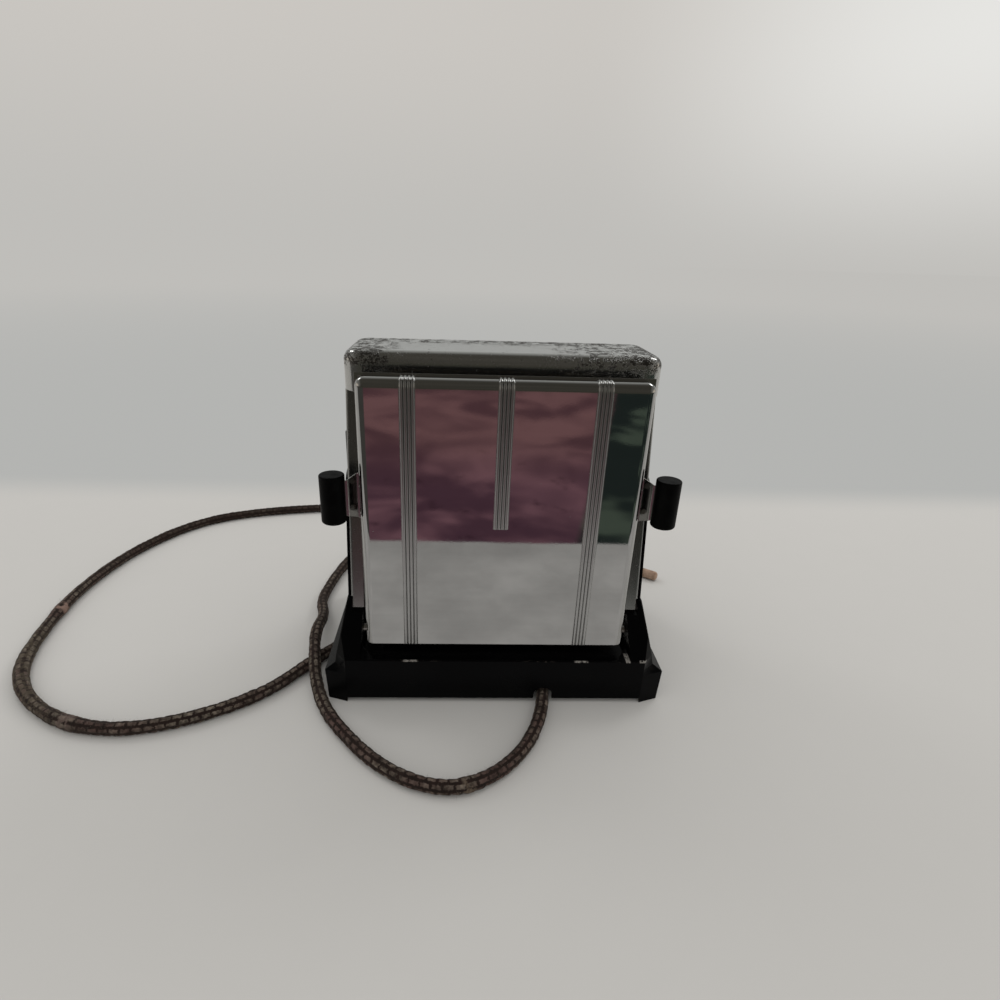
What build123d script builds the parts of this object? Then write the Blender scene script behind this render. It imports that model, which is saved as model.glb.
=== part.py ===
"""Vintage drop side toaster: a chromed A-frame body on a black enamelled base, with a
drop down door on each side and a cloth covered lead.

Frame: millimetres, +X to the right of the front door, front door towards -Y, +Z up.
The origin is on the floor under the middle of the base.
"""
from build123d import *
from math import cos, pi, radians, sin, sqrt, tan
import os

os.makedirs("parts", exist_ok=True)

# ------------------------------------------------------------------ driving dimensions
# Base: a black pressing with flared feet and a raised riser at each end.
base_depth = 126.0
base_sheet = 1.2
rim_corner_reach = 8.5
skirt_clearance = 3.0
foot_reach = 13.0
foot_setback = 4.5
foot_shoulder = 20.0
flare_reach = 7.0
flare_setback = 5.8
flare_height = 24.5
shoulder_reach = 3.0
shoulder_beyond_pin = 10.0
shoulder_lift = 1.4
crown_rise = 17.6
crown_thickness = 9.8
crown_margin = 1.5
well_floor_height = 24.0
riser_roof = 1.5
facet = 0.7
gusset_width = 8.5
gusset_depth = 14.0
foot_arch_width = 80.0
foot_arch_height = 14.0
foot_arch_radius = 9.0
bottom_plate_height = 12.0
bottom_plate_sheet = 1.0
louvre_length = 24.0
louvre_width = 4.0
louvre_pitch = 14.0
louvre_count = 8
louvre_setting = 30.0

# Doors: shallow pans, hinged near the bottom edge.
door_width = 158.0
door_height = 163.0
door_depth = 10.0
door_sheet = 0.8
door_rim = 1.0
door_to_floor = 6.0
door_plane = 38.0
door_edge_radius = 5.0
door_corner_radius = 6.0
flute_foot_gap = 0.6
bend_margin = 0.2
ledge_reach = 16.0
ledge_root = 3.0
ledge_margin = 8.0
flute_radius = 0.95
flute_pitch = 2.0
flute_count = 4
flute_group_offset = 51.0
short_flute_start = 79.0
hinge_lift = 8.0
hinge_setting = 3.0

# End panels and top cover.
panel_sheet = 0.8
panel_foot_half = 37.5
panel_tab = 7.0
panel_tab_inset = 1.75
panel_top_half = 12.4
panel_bend = 2.0
cap_depth = 54.0
cap_height = 22.0
cap_drop = 13.0
cap_sheet = 0.8
cap_cover = 16.0
cap_corner_radius = 11.0
cap_edge_radius = 6.0
shield_sheet = 1.2
shield_height = 75.0
shield_margin = 0.6
shield_corner_radius = 12.0
shield_rivet_spread = 22.0
shield_rivet_lift = 9.0
shield_rivet_drop = 14.0

# Knobs and their brackets.
knob_radius = 7.0
knob_length = 28.4
knob_rise = 107.8
knob_gap = 7.3
knob_set = 3.9
knob_edge = 1.6
bracket_sheet = 1.0
bracket_length = 27.5
bracket_tip_length = 21.0
bracket_rise = 0.2
bracket_leg = 5.2
bracket_step = 1.6
bracket_bend = 1.4
bracket_taper_gap = 0.5
bracket_rivet_setting = 2.9
knob_screw_setting = 2.0
knob_screw_recess = 2.2

# Heating element and guards.
mica_margin = 5.0
mica_sheet = 1.6
element_to_cap = 3.0
element_lift = 4.0
rail_height = 6.0
rail_sheet = 0.8
ribbon_width = 1.5
ribbon_sheet = 0.3
ribbon_turns = 12
ribbon_margin = 15.0
guard_plane = 13.0
guard_frame_radius = 1.0
guard_bar_radius = 0.7
guard_bars = 7
guard_bar_pitch = 21.0
guard_margin = 1.5
lead_margin = 17.0
lead_plane = 4.0
lead_radius = 0.8
lead_bend = 2.5
eyelet_radius = 2.5
eyelet_head = 1.0
terminal_margin = 10.0

# Fits and clearances.
running_fit = 0.05
rim_clearance = 0.05
mica_clearance = 0.2
plate_clearance = 1.0
door_to_riser = 1.0
slot_clearance = 0.1
cap_clearance = 0.5
cap_inset = 0.7
cap_seat_gap = 0.4
shield_recess = 0.3
spring_clearance = 0.2

# Fasteners.
pin_radius = 2.0
pin_head_radius = 3.6
pin_head = 1.2
rivet_radius = 1.0
rivet_head_radius = 1.9
rivet_head = 0.7
screw_radius = 1.4
screw_head_radius = 2.7
screw_head = 1.5
post_radius = 3.2
post_margin = 19.0
post_setback = 18.0

# Door springs: a coil round each hinge pin, with one leg along the door.
spring_wire = 0.5
spring_radius = 3.2
spring_pitch = 1.6
spring_turns = 5
spring_leg = 14.0
spring_leg_tilt = 10.0

# Lead.
cord_diameter = 7.6
cord_exit_x = -40.0
cord_exit_height = 15.0
bushing_wall = 2.2
bushing_step = 2.5
bushing_flange = 1.5
bushing_sleeve = 24.0
bushing_tip_wall = 1.1
wire_radius = 1.1
wire_bend = 2.2
notch_x = 29.0
notch_slack = 3.6
notch_headroom = 3.3
end_sleeve = 12.0
end_sleeve_step = 0.05

# Terminal block under the well floor.
block_x = -20.0
block_setback = 38.0
block_length = 36.0
block_width = 14.0
block_height = 6.5
terminal_pitch = 20.0
terminal_hole = 4.0

# ------------------------------------------------------------------ derived places
half_depth = base_depth / 2
half_door = door_width / 2
door_face = door_plane + door_depth
door_bottom = well_floor_height + door_to_floor
door_top = door_bottom + door_height
door_bend = min(door_edge_radius, door_corner_radius - door_rim)
door_fillet = door_bend - bend_margin
hinge_height = door_bottom + hinge_lift
hinge_plane = door_plane + hinge_setting
# a door that hangs level clears the rim by its flutes and rim_clearance
rim_height = hinge_height - (door_face - hinge_plane) - flute_radius - rim_clearance
shoulder_height = hinge_height + shoulder_lift
crown_height = shoulder_height + crown_rise
panel_foot_height = crown_height - panel_tab
well_half = half_door + door_to_riser
half_skirt = well_half + rim_corner_reach
foot_half = half_skirt + foot_reach
flare_half = half_skirt + flare_reach
crown_half = well_half + crown_thickness
shoulder_half = crown_half + shoulder_reach
half_panel = crown_half - shield_sheet - shield_recess
panel_flange = half_panel - well_half
shield_top = crown_height + shield_height
half_cap = half_panel - cap_inset
half_panel_top = half_cap - cap_sheet - cap_clearance
cap_width = 2 * half_cap
wall_x = half_panel - panel_sheet
floor_under = well_floor_height - base_sheet
bottom_plate_top = bottom_plate_height + bottom_plate_sheet
cap_bottom = door_top - cap_drop
panel_top_height = cap_bottom + cap_cover
panel_step = cap_bottom - cap_seat_gap
element_bottom = crown_height + element_lift
element_top = cap_bottom - element_to_cap
mica_width = door_width - 2 * mica_margin
mica_height = element_top - element_bottom
lead_x = half_door - lead_margin
post_x = half_door - post_margin
post_y = half_depth - post_setback
knob_axis_x = half_door + knob_gap + knob_radius
knob_axis_y = door_plane + knob_set
knob_top = door_bottom + knob_rise
knob_middle = knob_top - knob_length / 2
bracket_middle = knob_middle + bracket_rise
bracket_root_low = bracket_middle - bracket_length / 2
bracket_root_high = bracket_middle + bracket_length / 2
bracket_tip_low = bracket_middle - bracket_tip_length / 2
bracket_tip_high = bracket_middle + bracket_tip_length / 2
spring_outer_turn = half_door - door_rim - door_sheet - door_bend - spring_clearance
spring_inner_turn = spring_outer_turn - spring_turns * spring_pitch
pin_inner_end = spring_inner_turn - spring_pitch / 8 + spring_wire + spring_clearance
cord_radius = cord_diameter / 2
bushing_neck_radius = cord_radius + bushing_wall
bushing_flange_radius = bushing_neck_radius + bushing_step
bushing_tip_radius = cord_radius + bushing_tip_wall
notch_width = cord_diameter + notch_slack
notch_height = cord_diameter + notch_headroom
block_y = half_depth - block_setback


def panel_half_at(height):
    """Half depth of the leaning end panel at a height."""
    share = (height - panel_foot_height) / (panel_top_height - panel_foot_height)
    return panel_foot_half + share * (panel_top_half - panel_foot_half)


def save(part, name):
    part.label = name
    export_step(part, f"parts/{name}.step")


def mirrored(part, plane):
    """The same piece on the other side of a plane."""
    with BuildPart() as copy:
        add(part)
        mirror(about=plane, mode=Mode.REPLACE)
    return copy.part


def rod(start, end, radius):
    """A straight round bar between two points."""
    with BuildPart() as bar:
        with BuildLine():
            path = Line(start, end)
        with BuildSketch(Plane(origin=path @ 0, z_dir=path % 0)):
            Circle(radius)
        sweep()
    return bar.part


def bent_wire(points, radius, bend):
    """A round wire through points, with one bend radius."""
    with BuildPart() as wire:
        with BuildLine():
            path = FilletPolyline(*points, radius=bend)
        with BuildSketch(Plane(origin=path @ 0, z_dir=path % 0)):
            Circle(radius)
        sweep()
    return wire.part


def rivet(center, direction, grip, radius=rivet_radius, head=rivet_head_radius):
    """A rivet: a shank through the grip and a domed head on both faces."""
    with BuildPart() as piece:
        with BuildSketch(Plane(origin=center, z_dir=direction)):
            Circle(radius)
        extrude(amount=grip)
        with BuildSketch(Plane(origin=center, z_dir=direction)):
            Circle(head)
        extrude(amount=-rivet_head)
        far = Vector(*center) + Vector(*direction) * grip
        with BuildSketch(Plane(origin=far, z_dir=direction)):
            Circle(head)
        extrude(amount=rivet_head)
    return piece.part


def screw(center, direction, length, radius=screw_radius, head=screw_head_radius):
    """A screw whose head stands on a face at center and whose shank runs along direction."""
    back = Vector(*direction) * -1
    with BuildPart() as piece:
        with BuildSketch(Plane(origin=center, z_dir=direction)):
            Circle(radius)
        extrude(amount=length)
        with BuildSketch(Plane(origin=center, z_dir=back)):
            Circle(head)
        extrude(amount=screw_head)
        fillet(piece.edges().filter_by(GeomType.CIRCLE).sort_by(Axis(center, back))[-1], screw_head * 0.4)
        top = Vector(*center) + back * screw_head
        with BuildSketch(Plane(origin=top, z_dir=back)):
            Rectangle(head * 1.5, 0.7)
        extrude(amount=-screw_head * 0.45, mode=Mode.SUBTRACT)
    return piece.part


def group(parts):
    """Several separate solids of one kind in one node."""
    return Compound(children=list(parts))


# ------------------------------------------------------------------ base
def base_outline(corner, wing, inset=0.0):
    """An eight sided plan: corner is where the skirt ends, wing where the flare ends."""
    cx, cy = corner[0] - inset, corner[1] - inset
    wx, wy = wing[0] - inset, wing[1] - inset
    right = [(cx, -cy), (wx, -wy), (wx, wy), (cx, cy)]
    left = [(-x, y) for x, y in reversed(right)]
    return right + left


def base_sections():
    """Heights of the base's plan sections, with the corner and the wing at each."""
    skirt = (half_skirt, half_depth)
    shoulder_depth = hinge_plane + shoulder_beyond_pin
    crown_depth = panel_half_at(crown_height) + crown_margin
    return [
        (0.0, skirt, (foot_half - 2 * facet, half_depth - foot_setback + facet)),
        (foot_shoulder, skirt, (foot_half, half_depth - foot_setback)),
        (flare_height, skirt, (flare_half, half_depth - flare_setback)),
        (rim_height, skirt, (flare_half - facet, half_depth - flare_setback - 3 * facet)),
        (shoulder_height, (shoulder_half - facet, shoulder_depth + facet), (shoulder_half, shoulder_depth)),
        (crown_height, (crown_half - facet, crown_depth + facet), (crown_half, crown_depth)),
    ]


def base_block(inset, lowest, highest):
    """The base's outer form, or its hollow when it is inset, between two heights."""
    with BuildPart() as block:
        for height, corner, wing in base_sections():
            with BuildSketch(Plane.XY.offset(height)):
                Polygon(*base_outline(corner, wing, inset), align=None)
        loft(ruled=True)
        split(bisect_by=Plane.XY.offset(highest), keep=Keep.BOTTOM)
        if lowest > 0:
            split(bisect_by=Plane.XY.offset(lowest), keep=Keep.TOP)
    return block.part


def well_outline(grow=0.0):
    """Plan of the well: the full width between the risers, narrower at the rim's corners."""
    wide = well_half + grow
    end = half_depth - base_sheet + grow * 4
    narrow = well_half - gusset_width + grow
    shoulder = half_depth - gusset_depth - grow
    right = [(narrow, -end), (wide, -shoulder), (wide, shoulder), (narrow, end)]
    left = [(-x, y) for x, y in reversed(right)]
    return right + left


def base_hollow():
    """The space under the sheet: inset from the outside, and stopped by the well."""
    with BuildPart() as hollow:
        add(base_block(base_sheet, 0.0, panel_foot_height - riser_roof))
        with BuildSketch(Plane.XY.offset(floor_under)):
            Polygon(*well_outline(base_sheet), align=None)
        extrude(amount=crown_height, mode=Mode.SUBTRACT)
        # the sheet closes the rim's corners and the risers' inner sides
        with BuildSketch(Plane.XY.offset(rim_height - base_sheet)):
            Rectangle(2 * (well_half + base_sheet), 2 * base_depth)
        extrude(amount=crown_height, mode=Mode.SUBTRACT)
    return hollow.part


def make_base_pan():
    with BuildPart() as base:
        add(base_block(0.0, 0.0, crown_height))
        # between the risers everything above the rim is open
        with BuildSketch(Plane.XY.offset(rim_height)):
            Rectangle(2 * well_half, 2 * base_depth)
        extrude(amount=crown_height, mode=Mode.SUBTRACT)
        # the sunken well that the doors' lower edges swing in
        with BuildSketch(Plane.XY.offset(well_floor_height)):
            Polygon(*well_outline(), align=None)
        extrude(amount=crown_height, mode=Mode.SUBTRACT)
        add(base_hollow(), mode=Mode.SUBTRACT)
        # a seat in each riser for the tabs at the foot of the end panels' flanges
        seat_width = half_panel - panel_tab_inset + running_fit - well_half
        seat_depth = 20
        for side in (-1, 1):
            for end in (-1, 1):
                seat_y = panel_half_at(crown_height) - panel_sheet - 0.4 + seat_depth / 2
                with BuildSketch(Plane.XY.offset(panel_foot_height)):
                    with Locations((side * (well_half + seat_width / 2), end * seat_y)):
                        Rectangle(seat_width, seat_depth)
                extrude(amount=crown_height, mode=Mode.SUBTRACT)
        # the skirts stop short of the floor, so that the part stands on its four feet
        with BuildSketch(Plane.XY):
            Rectangle(2 * half_skirt, 2 * base_depth)
        extrude(amount=skirt_clearance, mode=Mode.SUBTRACT)
        with BuildSketch(Plane.YZ.offset(-2 * foot_half)):
            with Locations((0, -foot_arch_height)):
                RectangleRounded(foot_arch_width, 4 * foot_arch_height, foot_arch_radius)
        extrude(amount=4 * foot_half, mode=Mode.SUBTRACT)
        # notch in the front skirt where the lead comes out from underneath
        with BuildSketch(Plane.XZ.offset(half_depth - 2 * base_sheet)):
            with Locations((notch_x, 0)):
                SlotOverall(2 * notch_height, notch_width, rotation=90)
        extrude(amount=4 * base_sheet, mode=Mode.SUBTRACT)
        # hole in the back skirt for the bushing
        with BuildSketch(Plane.XZ.offset(-half_depth - base_sheet)):
            with Locations((cord_exit_x, cord_exit_height)):
                Circle(bushing_neck_radius + running_fit)
        extrude(amount=3 * base_sheet, mode=Mode.SUBTRACT)
        # holes in the well floor for the element's leads
        with BuildSketch(Plane.XY.offset(floor_under - 1)):
            with Locations((-lead_x, lead_plane), (lead_x, lead_plane)):
                Circle(3 * lead_radius + 0.6)
        extrude(amount=base_sheet + 2, mode=Mode.SUBTRACT)
        # hinge pin holes in the walls between well and risers
        for side in (-1, 1):
            with BuildSketch(Plane.YZ.offset(side * (well_half + base_sheet / 2) - base_sheet)):
                with Locations((-hinge_plane, hinge_height), (hinge_plane, hinge_height)):
                    Circle(pin_radius)
            extrude(amount=2 * base_sheet, mode=Mode.SUBTRACT)
        # four posts that take the bottom plate's screws
        with BuildSketch(Plane.XY.offset(bottom_plate_top)):
            with GridLocations(2 * post_x, 2 * post_y, 2, 2):
                Circle(post_radius)
        extrude(amount=floor_under + base_sheet / 2 - bottom_plate_top)
        with BuildSketch(Plane.XY.offset(bottom_plate_top - 1)):
            with GridLocations(2 * post_x, 2 * post_y, 2, 2):
                Circle(screw_radius)
        extrude(amount=7.0, mode=Mode.SUBTRACT)
    save(base.part, "base_pan")


def make_bottom_plate():
    plate_x = 2 * (half_skirt - base_sheet - plate_clearance)
    plate_y = 2 * (half_depth - base_sheet - plate_clearance)
    with BuildPart() as plate:
        with BuildSketch(Plane.XY.offset(bottom_plate_height)):
            RectangleRounded(plate_x, plate_y, 6)
            with GridLocations(2 * post_x, 2 * post_y, 2, 2):
                Circle(screw_radius + running_fit, mode=Mode.SUBTRACT)
            # louvres that let air in under the well
            with Locations((0, -louvre_setting)):
                with GridLocations(louvre_pitch, 1, louvre_count, 1):
                    SlotOverall(louvre_length, louvre_width, rotation=90, mode=Mode.SUBTRACT)
            # notch round the inner flange of the lead's bushing
            with Locations((cord_exit_x, plate_y / 2)):
                Rectangle(2 * bushing_flange_radius, 6, mode=Mode.SUBTRACT)
        extrude(amount=bottom_plate_sheet)
    save(plate.part, "bottom_plate")
    screws = [screw((x, y, bottom_plate_height), (0, 0, 1), 6.5)
              for x in (-post_x, post_x) for y in (-post_y, post_y)]
    save(group(screws), "bottom_plate_screws")


# ------------------------------------------------------------------ end panels and top cover
def panel_profile(inset=0.0):
    """The A shaped end panel as points on the YZ plane."""
    top = panel_top_height - inset
    low = panel_foot_height - (4 * panel_sheet if inset else 0)
    low_half = panel_half_at(low) - inset
    top_half = panel_half_at(top) - inset
    return [(-low_half, low), (low_half, low), (top_half, top), (-top_half, top)]


def panel_block(outer, top, inset=0.0):
    """The end panel's form out to outer and up to top, or its hollow when it is inset."""
    with BuildPart() as block:
        with BuildSketch(Plane.YZ.offset(well_half - (panel_flange if inset else 0))):
            Polygon(*panel_profile(inset), align=None)
        extrude(amount=outer - inset - well_half + (panel_flange if inset else 0))
        split(bisect_by=Plane.XY.offset(top - inset), keep=Keep.BOTTOM)
    return block.part


def end_panel():
    """Right hand end panel: a wall with its edges folded inwards and its top set in."""
    with BuildPart() as panel:
        add(panel_block(half_panel, panel_step))
        outer = panel.faces().sort_by(Axis.X)[-1]
        leaning = outer.edges().filter_by(Axis.Y, reverse=True)
        fillet(leaning, panel_bend)
        # the top is set in, so that the cover over it lies flush with the wall below
        add(panel_block(half_panel_top, panel_top_height))
        add(panel_block(half_panel, panel_step, panel_sheet), mode=Mode.SUBTRACT)
        add(panel_block(half_panel_top, panel_top_height, panel_sheet), mode=Mode.SUBTRACT)
        # the wall stands on the riser, only the flanges' tabs reach lower
        with BuildSketch(Plane.XY.offset(panel_foot_height)):
            with Locations((half_panel, 0)):
                Rectangle(2 * panel_tab_inset, 4 * panel_foot_half)
        extrude(amount=crown_height - panel_foot_height, mode=Mode.SUBTRACT)
        # screw hole for the top cover, and rivet holes for rails and shield
        hole_depth = panel_flange / 2
        with BuildSketch(Plane.YZ.offset(half_panel - hole_depth)):
            with Locations((0, cap_screw_height())):
                Circle(screw_radius)
            with Locations(*shield_rivet_places(), *rail_rivet_places()):
                Circle(rivet_radius + running_fit)
        extrude(amount=2 * hole_depth, mode=Mode.SUBTRACT)
    return panel.part


def cap_screw_height():
    return cap_bottom + cap_height * 0.36


def shield_rivet_places():
    """Where the shield alone is riveted to the panel, on the YZ plane."""
    low = crown_height + shield_rivet_lift
    return [(-shield_rivet_spread, low), (shield_rivet_spread, low), (0, shield_top - shield_rivet_drop)]


def rail_rivet_places():
    """Where the end tabs of the two element rails are riveted, on the YZ plane."""
    lift = rail_height + 4.0
    return [(0, element_bottom + lift), (0, element_top - lift)]


def end_shield():
    """Right hand black plate on the lower outside of the end panel."""
    low_half = panel_half_at(crown_height) - shield_margin
    top_half = panel_half_at(shield_top) - shield_margin
    with BuildPart() as shield:
        with BuildSketch(Plane.YZ.offset(half_panel)) as outline:
            Polygon((-low_half, crown_height), (low_half, crown_height),
                    (top_half, shield_top), (-top_half, shield_top), align=None)
            fillet(outline.vertices().group_by(Axis.Y)[-1], shield_corner_radius)
            with Locations(*shield_rivet_places(), rail_rivet_places()[0]):
                Circle(rivet_radius + running_fit, mode=Mode.SUBTRACT)
        extrude(amount=shield_sheet)
    return shield.part


def make_ends():
    panel = end_panel()
    save(panel, "end_panel_right")
    save(mirrored(panel, Plane.YZ), "end_panel_left")
    shield = end_shield()
    save(shield, "end_shield_right")
    save(mirrored(shield, Plane.YZ), "end_shield_left")
    rivets = []
    for side in (-1, 1):
        for y, z in shield_rivet_places():
            grip = panel_sheet + shield_sheet
            rivets.append(rivet((side * wall_x, y, z), (side, 0, 0), grip))
        for y, z in rail_rivet_places():
            grip = rail_sheet + panel_sheet
            if z < shield_top:
                grip += shield_sheet
            rivets.append(rivet((side * (wall_x - rail_sheet), y, z), (side, 0, 0), grip))
    save(group(rivets), "frame_rivets")


def make_cap():
    with BuildPart() as cap:
        with BuildSketch(Plane.XY.offset(cap_bottom)):
            RectangleRounded(cap_width, cap_depth, cap_corner_radius)
        extrude(amount=cap_height)
        fillet(cap.faces().sort_by(Axis.Z)[-1].edges(), cap_edge_radius)
        with BuildPart(mode=Mode.PRIVATE) as inside:
            with BuildSketch(Plane.XY.offset(cap_bottom - 1)):
                RectangleRounded(cap_width - 2 * cap_sheet, cap_depth - 2 * cap_sheet,
                                 cap_corner_radius - cap_sheet)
            extrude(amount=cap_height + 1 - cap_sheet)
            fillet(inside.faces().sort_by(Axis.Z)[-1].edges(), cap_edge_radius - cap_sheet)
        add(inside.part, mode=Mode.SUBTRACT)
        with BuildSketch(Plane.YZ.offset(-cap_width)):
            with Locations((0, cap_screw_height())):
                Circle(screw_radius + running_fit)
        extrude(amount=2 * cap_width, mode=Mode.SUBTRACT)
    save(cap.part, "top_cap")
    reach = half_cap - half_panel_top + panel_sheet + 2.0
    screws = [screw((side * half_cap, 0, cap_screw_height()), (-side, 0, 0), reach) for side in (-1, 1)]
    save(group(screws), "cap_screws")


# ------------------------------------------------------------------ doors
def flute_group(offset, low):
    """Four raised flutes side by side."""
    with BuildPart() as flutes:
        for index in range(flute_count):
            x = offset + (index - (flute_count - 1) / 2) * flute_pitch
            with BuildLine(Plane.YZ.offset(x)) as path:
                bend = door_bend
                high = door_top - door_rim
                face = -door_face
                Line((face, low), (face, high - bend))
                ThreePointArc((face, high - bend),
                              (face + bend * (1 - cos(pi / 4)), high - bend * (1 - sin(pi / 4))),
                              (face + bend, high))
                Line((face + bend, high), (-door_plane - door_sheet / 2, high))
            with BuildSketch(Plane.XY.offset(low)):
                with Locations((x, face)):
                    Circle(flute_radius)
            sweep(path=path.wires()[0])
    return flutes.part


def door_outline(back, inset):
    """Outline of the door, inset from its rim: rounded corners above, square ones below."""
    low = door_bottom + inset
    high = door_top - inset
    with BuildSketch(Plane.XZ.offset(back)) as outline:
        with Locations((0, (low + high) / 2)):
            Rectangle(door_width - 2 * inset, high - low)
        fillet(outline.vertices().sort_by(Axis.Z)[-2:], door_corner_radius - inset)
    return outline.sketch


def door_block(inset, back, front, bend):
    """Solid of the door's outline with a bend round its front edge, cut square at its foot."""
    low = door_bottom + inset
    high = door_top - inset
    below = 2 * door_corner_radius
    with BuildPart() as block:
        with BuildSketch(Plane.XZ.offset(back)):
            with Locations((0, (low + high - below) / 2)):
                RectangleRounded(door_width - 2 * inset, high - low + below,
                                 door_corner_radius - inset)
        extrude(amount=front - back)
        fillet(block.faces().sort_by(Axis.Y)[0].edges(), bend)
        split(bisect_by=Plane.XY.offset(low), keep=Keep.TOP)
    return block.part


def door_pan():
    """Front door: a shallow pan with a rolled edge, a rim, a bread ledge and flutes."""
    wall = door_rim + door_sheet
    with BuildPart() as door:
        add(door_block(door_rim, door_plane, door_face, door_fillet))
        add(flute_group(-flute_group_offset, door_bottom + door_rim + flute_foot_gap))
        add(flute_group(flute_group_offset, door_bottom + door_rim + flute_foot_gap))
        add(flute_group(0, door_bottom + short_flute_start))
        add(door_block(wall, door_plane - 1, door_face - door_sheet, door_fillet - door_sheet),
            mode=Mode.SUBTRACT)
        # rim turned outwards around the open side
        extrude(door_outline(door_plane, 0) - door_outline(door_plane, wall), amount=door_sheet)
        # ledge that carries the slice and pushes it out when the door drops
        with BuildSketch(Plane.XY.offset(door_bottom + door_rim)):
            with Locations((0, -door_plane + (ledge_reach - ledge_root) / 2)):
                Rectangle(door_width - 2 * (door_rim + ledge_margin), ledge_reach + ledge_root)
        extrude(amount=door_sheet)
        # hinge holes in the side walls
        with BuildSketch(Plane.YZ.offset(-door_width)):
            with Locations((-hinge_plane, hinge_height)):
                Circle(pin_radius + running_fit)
        extrude(amount=2 * door_width, mode=Mode.SUBTRACT)
        # rivet holes for the knob brackets
        with BuildSketch(Plane.YZ.offset(-door_width)):
            with Locations(*bracket_rivet_places()):
                Circle(rivet_radius + running_fit)
        extrude(amount=2 * door_width, mode=Mode.SUBTRACT)
    return door.part


def bracket_rivet_places():
    """On the YZ plane, in the flat of the door's side wall."""
    spread = bracket_length * 0.29
    setting = -door_plane - bracket_rivet_setting
    return [(setting, bracket_middle - spread), (setting, bracket_middle + spread)]


def knob_bracket():
    """Front right bracket: riveted inside the pan, over its rim and out to the knob."""
    inner = half_door - door_rim - door_sheet - bracket_sheet / 2
    behind = -door_plane + bracket_sheet / 2
    knob_line = -knob_axis_y
    knob_edge_x = knob_axis_x - knob_radius
    taper_from = half_door + bracket_taper_gap
    taper_to = knob_edge_x - bracket_taper_gap - 0.1
    with BuildPart() as bracket:
        with BuildSketch(Plane.XY.offset(bracket_root_low)):
            with BuildLine():
                leg = Line((inner, -door_plane - bracket_leg), (inner, behind))
                FilletPolyline(leg @ 1, (half_door + bracket_step, behind),
                               (knob_edge_x - 1.2, knob_line), (knob_axis_x, knob_line),
                               radius=bracket_bend)
                offset(amount=bracket_sheet / 2, side=Side.BOTH)
            make_face()
        extrude(amount=bracket_root_high - bracket_root_low)
        # taper from the door to the knob
        with BuildSketch(Plane.XZ.offset(-door_plane)):
            Polygon((taper_from, bracket_root_high), (taper_to, bracket_tip_high),
                    (knob_axis_x + 5, bracket_tip_high), (knob_axis_x + 5, bracket_root_high + 2),
                    (taper_from, bracket_root_high + 2), align=None)
            Polygon((taper_from, bracket_root_low), (taper_to, bracket_tip_low),
                    (knob_axis_x + 5, bracket_tip_low), (knob_axis_x + 5, bracket_root_low - 2),
                    (taper_from, bracket_root_low - 2), align=None)
        extrude(amount=4 * door_plane, both=True, mode=Mode.SUBTRACT)
        with BuildSketch(Plane.YZ.offset(inner - 3)):
            with Locations(*bracket_rivet_places()):
                Circle(rivet_radius + running_fit)
        extrude(amount=5, mode=Mode.SUBTRACT)
        with BuildSketch(Plane.XZ.offset(knob_axis_y - 3)):
            with Locations((knob_screw_x(), knob_middle)):
                Circle(screw_radius + running_fit)
        extrude(amount=6, mode=Mode.SUBTRACT)
    return bracket.part


def knob_screw_x():
    return knob_axis_x - knob_screw_setting


def knob_recess():
    """How far the knob screw's head is sunk, measured from the knob's axis."""
    return knob_radius - knob_screw_recess


def knob():
    """Front right knob: a round bar along the door's height, slotted for its bracket."""
    with BuildPart() as body:
        with BuildSketch(Plane.XY.offset(knob_top - knob_length)):
            with Locations((knob_axis_x, -knob_axis_y)):
                Circle(knob_radius)
        extrude(amount=knob_length)
        ends = body.edges().filter_by(GeomType.CIRCLE)
        fillet(ends.sort_by(Axis.Z)[0], knob_edge)
        fillet(ends.sort_by(Axis.Z)[-1], knob_edge * 0.5)
        slot_from = knob_axis_x - 2 * knob_radius
        slot_to = knob_axis_x + bracket_sheet / 2 + slot_clearance
        slot_height = bracket_tip_high - bracket_tip_low + 2 * slot_clearance
        with BuildSketch(Plane.XZ.offset(knob_axis_y - bracket_sheet / 2 - slot_clearance / 2)):
            with Locations(((slot_from + slot_to) / 2, (bracket_tip_high + bracket_tip_low) / 2)):
                Rectangle(slot_to - slot_from, slot_height)
        extrude(amount=bracket_sheet + slot_clearance, mode=Mode.SUBTRACT)
        with BuildSketch(Plane.XZ.offset(knob_axis_y - knob_recess())):
            with Locations((knob_screw_x(), knob_middle)):
                Circle(screw_radius)
        extrude(amount=knob_recess() + 3.0, mode=Mode.SUBTRACT)
        with BuildSketch(Plane.XZ.offset(knob_axis_y - knob_radius - 1)):
            with Locations((knob_screw_x(), knob_middle)):
                Circle(screw_head_radius + 0.3)
        extrude(amount=knob_radius + 1 - knob_recess(), mode=Mode.SUBTRACT)
    return body.part


def door_fasteners(side_sign):
    """Bracket rivets on one side of the front door."""
    outer = half_door - door_rim
    start = outer - door_sheet - bracket_sheet
    return [rivet((side_sign * start, y, z), (side_sign, 0, 0), door_sheet + bracket_sheet,
                  head=rivet_head_radius - 0.3)
            for y, z in bracket_rivet_places()]


def hinge_pin(side):
    """A headed pin through the riser's inner wall and the door's side wall."""
    head_from = well_half + base_sheet
    with BuildPart() as pin:
        with BuildSketch(Plane.YZ.offset(side * pin_inner_end)):
            with Locations((-hinge_plane, hinge_height)):
                Circle(pin_radius)
        extrude(amount=side * (head_from - pin_inner_end))
        with BuildSketch(Plane.YZ.offset(side * head_from)):
            with Locations((-hinge_plane, hinge_height)):
                Circle(pin_head_radius)
        extrude(amount=side * pin_head)
    return pin.part


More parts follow.
